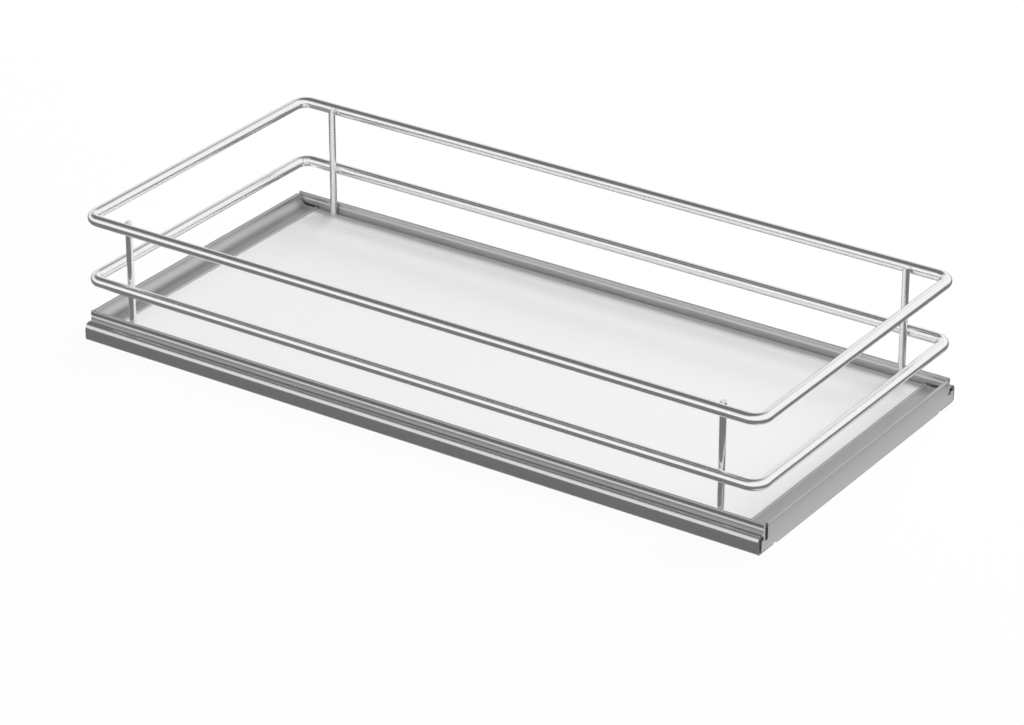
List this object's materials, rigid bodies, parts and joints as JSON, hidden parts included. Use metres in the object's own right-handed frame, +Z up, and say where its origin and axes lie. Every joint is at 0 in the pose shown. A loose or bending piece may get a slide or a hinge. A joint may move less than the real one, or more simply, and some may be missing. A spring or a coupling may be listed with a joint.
{
  "type": "pull out cabinet basket",
  "caption": "Shallow pull-out cabinet tray with round-rod guard rails on slim posts, framed by metal profiles and carried on low side-mounted ball runners.",
  "frame": {"origin": "centre of the part's footprint, on the cabinet floor that the runners stand on", "axes": "+X is the pull-out direction towards the user, +Z is up, +Y is to the right for someone who faces the cabinet"},
  "size_m": [0.5, 0.236, 0.0884],
  "materials": {
    "chrome_rod": "polished",
    "side_frame": "satin",
    "end_frame": "satin",
    "floor": "smooth matte coat",
    "runner_steel": "bright zinc",
    "ball_steel": "polished",
    "buffer_plastic": "moulded",
    "fastener_steel": "bright zinc"
  },
  "bodies": {
    "cabinet_rails": {"cabinet_rail_left": "runner_steel", "cabinet_rail_right": "runner_steel", "rear_buffer_left": "buffer_plastic", "rear_buffer_right": "buffer_plastic"},
    "tray": {"top_rail": "chrome_rod", "lower_rail": "chrome_rod", "post_front_left": "chrome_rod", "post_front_right": "chrome_rod", "post_rear_left": "chrome_rod", "post_rear_right": "chrome_rod", "side_profile_left": "side_frame", "side_profile_right": "side_frame", "front_end_profile": "end_frame", "rear_end_profile": "end_frame", "floor_panel": "floor", "tray_rail_left": "runner_steel", "tray_rail_right": "runner_steel", "corner_bracket_front_left": "fastener_steel", "corner_bracket_front_right": "fastener_steel", "corner_bracket_rear_left": "fastener_steel", "corner_bracket_rear_right": "fastener_steel", "corner_screws": "fastener_steel", "post_screws": "fastener_steel", "tray_rail_rivets": "fastener_steel"},
    "left_cage": {"ball_cage_left": "runner_steel", "balls_left": "ball_steel"},
    "right_cage": {"ball_cage_right": "runner_steel", "balls_right": "ball_steel"}
  },
  "joints": [
    {"name": "tray_slide", "type": "slide", "parent": "cabinet_rails", "child": "tray", "axis": [1, 0, 0], "range_m": [0, 0.35]},
    {"name": "left_cage_slide", "type": "slide", "parent": "cabinet_rails", "child": "left_cage", "axis": [1, 0, 0], "range_m": [0, 0.175]},
    {"name": "right_cage_slide", "type": "slide", "parent": "cabinet_rails", "child": "right_cage", "axis": [1, 0, 0], "range_m": [0, 0.175]}
  ],
  "couplings": [
    {"joint": "left_cage_slide", "follows": "tray_slide", "ratio": 0.5},
    {"joint": "right_cage_slide", "follows": "tray_slide", "ratio": 0.5}
  ]
}
